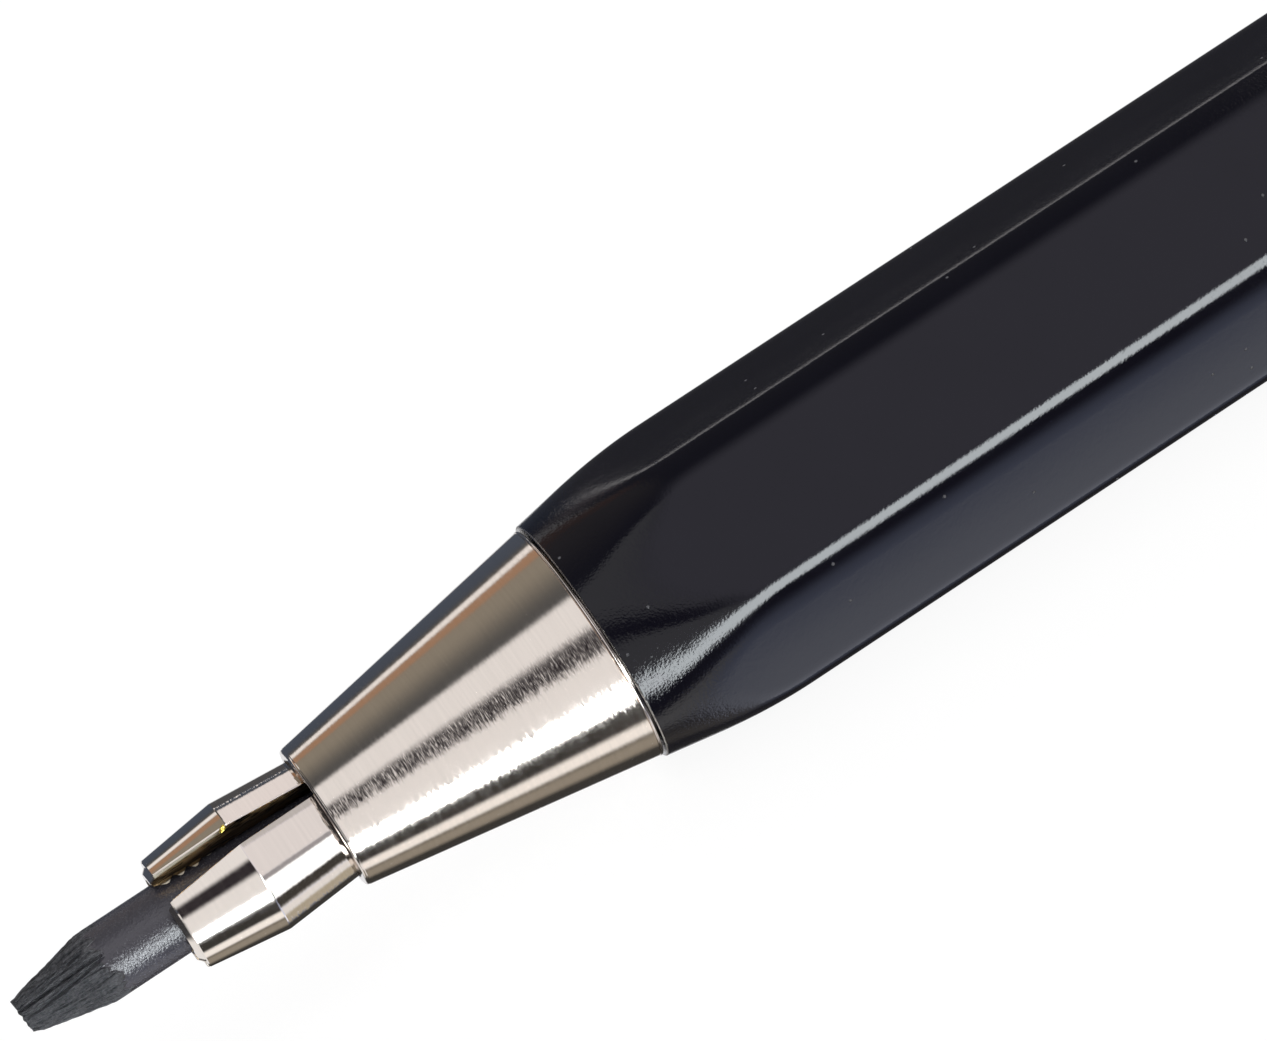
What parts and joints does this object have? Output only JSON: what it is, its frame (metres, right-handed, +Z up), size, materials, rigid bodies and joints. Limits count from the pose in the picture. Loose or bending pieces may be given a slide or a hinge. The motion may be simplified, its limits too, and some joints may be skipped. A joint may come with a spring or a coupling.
{
  "type": "carpenter pencil",
  "caption": "Clutch carpenter pencil: hexagonal lacquered barrel, metal nose cone, three-jaw collet on a thick graphite lead, pocket clip and sprung push button with a lead sharpener.",
  "frame": {"origin": "centre of the bounding box, at its bottom: the middle of the pencil's length on the surface it lies on", "axes": "+X along the pencil from the writing tip to the button, +Z up through the clip, +Y across; the pencil lies on one flat of the barrel"},
  "size_m": [0.14, 0.008, 0.0088],
  "materials": {
    "black_lacquer": "glossy black lacquer over metal",
    "turned_nickel": "nickel plate over fine turning marks",
    "collet_nickel": "nickel-plated brass, slots worn to the brass",
    "graphite": "dull grey graphite, scraped to a point",
    "brass": "drawn brass",
    "spring_steel": "drawn spring wire",
    "clip_steel": "nickel-plated spring sheet",
    "sharpener_metal": "machined, matte",
    "blade_steel": "ground steel"
  },
  "bodies": {
    "root": {"barrel": "black_lacquer", "nose_cone": "turned_nickel", "spring_seat": "brass", "rear_bush": "brass", "end_ferrule": "turned_nickel", "clip_ring": "clip_steel"},
    "clip": {"clip_arm": "clip_steel"},
    "plunger": {"return_spring": "spring_steel", "spring_collar": "brass", "collet_body": "collet_nickel", "lead_tube": "brass", "cap_socket": "brass"},
    "jaw_a": {"jaw_1": "collet_nickel"},
    "jaw_b": {"jaw_2": "collet_nickel"},
    "jaw_c": {"jaw_3": "collet_nickel"},
    "lead_stick": {"lead": "graphite"},
    "button": {"button_shell": "turned_nickel", "sharpener_insert": "sharpener_metal", "sharpener_blade_1": "blade_steel", "sharpener_blade_2": "blade_steel", "sharpener_blade_3": "blade_steel"}
  },
  "joints": [
    {"name": "plunger_press", "type": "slide", "parent": "root", "child": "plunger", "axis": [-1, 0, 0], "range_m": [0, 0.003], "stiffness_N_per_m": 500, "springref_m": -0.002, "deforming": ["return_spring"]},
    {"name": "jaw_a_open", "type": "hinge", "parent": "plunger", "child": "jaw_a", "pos_m": [-0.0517, 0.00052, 0.00495], "axis": [0, 0.9272, -0.3746], "range_deg": [0, 2.2]},
    {"name": "jaw_b_open", "type": "hinge", "parent": "plunger", "child": "jaw_b", "pos_m": [-0.0517, -0.00139, 0.00346], "axis": [0, -0.1392, 0.9903], "range_deg": [0, 2.2]},
    {"name": "jaw_c_open", "type": "hinge", "parent": "plunger", "child": "jaw_c", "pos_m": [-0.0517, 0.00086, 0.00255], "axis": [0, -0.788, -0.6157], "range_deg": [0, 2.2]},
    {"name": "lead_feed", "type": "slide", "parent": "plunger", "child": "lead_stick", "axis": [-1, 0, 0], "range_m": [-0.009, 0.03]},
    {"name": "button_pull", "type": "slide", "parent": "plunger", "child": "button", "axis": [1, 0, 0], "range_m": [0, 0.012]},
    {"name": "clip_flex", "type": "hinge", "parent": "root", "child": "clip", "pos_m": [0.0526, 0, 0.0088], "axis": [0, 1, 0], "range_deg": [0, 3.5], "stiffness_Nm_per_rad": 1, "springref_deg": -1.15}
  ],
  "couplings": [
    {"joint": "jaw_a_open", "follows": "plunger_press", "rad_per_m": 12.5},
    {"joint": "jaw_b_open", "follows": "plunger_press", "rad_per_m": 12.5},
    {"joint": "jaw_c_open", "follows": "plunger_press", "rad_per_m": 12.5}
  ]
}
